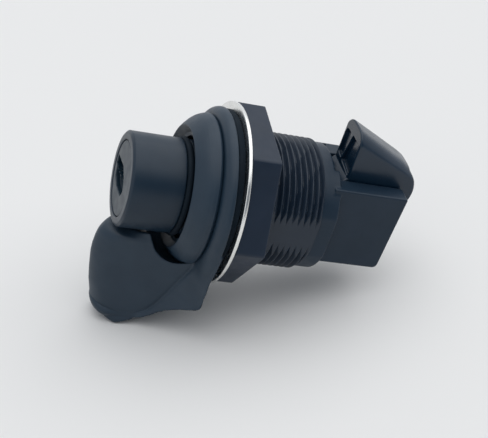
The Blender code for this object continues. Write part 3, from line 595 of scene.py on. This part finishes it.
# Lock plug: outline as (y, r), key slot and its mouth as (x, z)
PLUG = [(-16.1, -1.0), (-16.1, 6.1), (-14.5, 6.1), (-14.5, 5.5), (2.7, 5.5), (2.7, 4.7), (3.35, 4.7), (3.35, 5.5),
        (3.75, 5.5), (3.75, -1.0)]
PLUG_ROUND = [0, 0.12, 0.04, 0.04, 0.03, 0.03, 0.03, 0.03, 0.05, 0]
KEY_SLOT = [(-5.5, -0.5), (-5.4, 1.1), (-0.75, 1.75), (1.6, 0.6), (-0.25, -0.17), (-4.7, -0.7)]
KEY_MOUTH = [(-4.7, -0.8), (-0.3, -0.3), (1.6, 0.5), (2.64, -0.92), (1.84, -2.24), (-2.1, -2.75), (-4.1, -2.1)]
SLOT_END, MOUTH_END = -3.6, -15.2
WAFER_PITCH, WAFER_FIRST, WAFER_HALF, WAFER_ACROSS = 2.1, -8.45, 0.5, 2.3
GAPS_FRONT, GAPS_REAR = -12.5, -4.6
PIT_R, PIT_FRONT = 1.05, -1.5
plug_section = profile_field(rounded(PLUG, PLUG_ROUND), (-18, -2), (5, 8))
key_slot = profile_field(rounded(KEY_SLOT, 0.12), (-7, -7), (7, 7))
key_mouth = profile_field(rounded(KEY_MOUTH, 0.2), (-7, -7), (7, 7))


def plug_field(x, y, z):
    """Turned plug with the key slot and its mouth, four wafer gaps at an even pitch and the screw's pit."""
    r = np.hypot(x, z)
    solid = plug_section(y, r)
    across = turned(x, z)[1]
    slot = np.maximum(key_slot(x, z), y - SLOT_END)
    mouth = np.maximum(key_mouth(x, z), y - MOUTH_END)
    from_wafer = np.abs((y - WAFER_FIRST + WAFER_PITCH / 2) % WAFER_PITCH - WAFER_PITCH / 2)
    gaps = np.maximum(np.abs(across) - WAFER_ACROSS, from_wafer - WAFER_HALF)
    gaps = np.maximum.reduce([gaps, y - GAPS_REAR, GAPS_FRONT - y])
    pit = np.maximum(r - PIT_R, PIT_FRONT - y)
    solid = meet(solid, -meet(slot, -17 - y, 0.1), 0.12)
    solid = meet(solid, -mouth, 0.12)
    return np.maximum.reduce([solid, -gaps, -pit])


add_mesh("key_plug", skin(plug_field, (-6.2, -16.2, -6.2), (6.2, 3.85, 6.2), 0.15),
         plug_black, "plug", ("lock_plug",))

# Seal ring in the button's groove, a slightly flattened wire
SEAL_Y, SEAL_R, SEAL_LONG, SEAL_HIGH = -6.9, 7.62, 0.52, 0.5
wire_turn = np.linspace(0, 2 * np.pi, 32, endpoint=False)
seal_wire = [(SEAL_Y - SEAL_LONG * math.cos(a), SEAL_R + SEAL_HIGH * math.sin(a)) for a in wire_turn]
add_mesh("seal_ring", lathe(seal_wire, 192), rubber, "button", ("o_ring",))

# Finishes of the solids of the frame
LOOKS = {
    "housing": body, "hex_nut": nut_black, "gasket": rubber, "o_ring": rubber, "washer": plated,
    "button_shell": satin, "lock_plug": plug_black, "bolt": glossy, "plunger": satin, "pivot_pin": steel,
    "button_spring": steel, "bolt_spring": steel, "spring_seat": steel, "plug_clip": steel, "drive_tab": steel,
    "tab_screw": steel, "wafer_1": brass, "wafer_2": brass, "wafer_3": brass, "wafer_4": brass,
}
for node, look in LOOKS.items():
    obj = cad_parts[node]
    for slot in obj.material_slots:
        slot.link = "OBJECT"
        slot.material = look
    if not obj.material_slots:
        obj.data.materials.append(look)

# Floor: tilted as the latch lies in the photograph, and touching the lowest point of what is moulded
FLOOR_NORMAL = Vector((-0.03, -0.315, 0.948)).normalized()
FLOOR_HALF = 3.0
points = [np.array([v.co for v in piece.data.vertices]) for piece in (bezel, nut, block, barrel)]
lowest = min(float((place @ FLOOR_NORMAL).min()) for place in points)
floor_mat, nodes, links, shader = nodes_of("pale_floor")
shader.inputs["Base Color"].default_value = (0.87, 0.865, 0.855, 1)
shader.inputs["Roughness"].default_value = 0.9
shader.inputs["Specular IOR Level"].default_value = 0.1
floor_corners = [(u * FLOOR_HALF, v * FLOOR_HALF, 0) for u, v in ((-1, -1), (1, -1), (1, 1), (-1, 1))]
mesh = bpy.data.meshes.new("floor")
mesh.from_pydata(floor_corners, [], [(0, 1, 2, 3)])
mesh.materials.append(floor_mat)
floor = bpy.data.objects.new("floor", mesh)
floor_turn = FLOOR_NORMAL.to_track_quat("Z", "Y").to_matrix().to_4x4()
floor.matrix_world = Matrix.Translation(FLOOR_NORMAL * lowest) @ floor_turn
bpy.context.scene.collection.objects.link(floor)

# Room: pale walls all round, with a darker part in front of the bolt's open side. What is seen, mirrored or seen
# through gets the walls at full strength, and the light on the object is weaker.
DARK_SIDE = Vector((0.87, 0.28, 0.38)).normalized()
PALE_UNTIL, DARK_FROM = 0.66, 0.97
PALE_WALL, DARK_WALL = (0.79, 0.82, 0.86, 1), (0.10, 0.12, 0.15, 1)
ROOM_STRENGTH, PAPER_STRENGTH = 0.62, 1.0
world = bpy.data.worlds.new("studio")
bpy.context.scene.world = world
world.use_nodes = True
wn, wl = world.node_tree.nodes, world.node_tree.links
direction = wn.new("ShaderNodeTexCoord")
facing = wn.new("ShaderNodeVectorMath")
facing.operation = "DOT_PRODUCT"
facing.inputs[1].default_value = DARK_SIDE
sky = wn.new("ShaderNodeValToRGB")
wl.new(direction.outputs["Generated"], facing.inputs[0])
wl.new(facing.outputs["Value"], sky.inputs["Fac"])
for element, position, wall in zip(sky.color_ramp.elements, (PALE_UNTIL, DARK_FROM), (PALE_WALL, DARK_WALL)):
    element.position = position
    element.color = wall
room, paper = wn["Background"], wn.new("ShaderNodeBackground")
for background, strength in ((room, ROOM_STRENGTH), (paper, PAPER_STRENGTH)):
    background.inputs["Strength"].default_value = strength
    wl.new(sky.outputs["Color"], background.inputs["Color"])
path = wn.new("ShaderNodeLightPath")
seen, seen_through = wn.new("ShaderNodeMath"), wn.new("ShaderNodeMath")
seen.operation = seen_through.operation = "ADD"
seen_through.use_clamp = True
wl.new(path.outputs["Is Camera Ray"], seen.inputs[0])
wl.new(path.outputs["Is Glossy Ray"], seen.inputs[1])
wl.new(seen.outputs["Value"], seen_through.inputs[0])
wl.new(path.outputs["Is Transmission Ray"], seen_through.inputs[1])
pick = wn.new("ShaderNodeMixShader")
wl.new(seen_through.outputs["Value"], pick.inputs["Fac"])
wl.new(room.outputs["Background"], pick.inputs[1])
wl.new(paper.outputs["Background"], pick.inputs[2])
wl.new(pick.outputs["Shader"], wn["World Output"].inputs["Surface"])

# Overhead light, as wide as half the sky and even over the whole floor
OVERHEAD_FROM = (-0.08, 0.0, 1.0)
overhead_data = bpy.data.lights.new("overhead", "SUN")
overhead_data.energy = 1.6
overhead_data.angle = math.radians(95.0)
overhead = bpy.data.objects.new("overhead", overhead_data)
bpy.context.scene.collection.objects.link(overhead)
overhead.rotation_euler = Vector(OVERHEAD_FROM).to_track_quat("Z", "Y").to_euler()
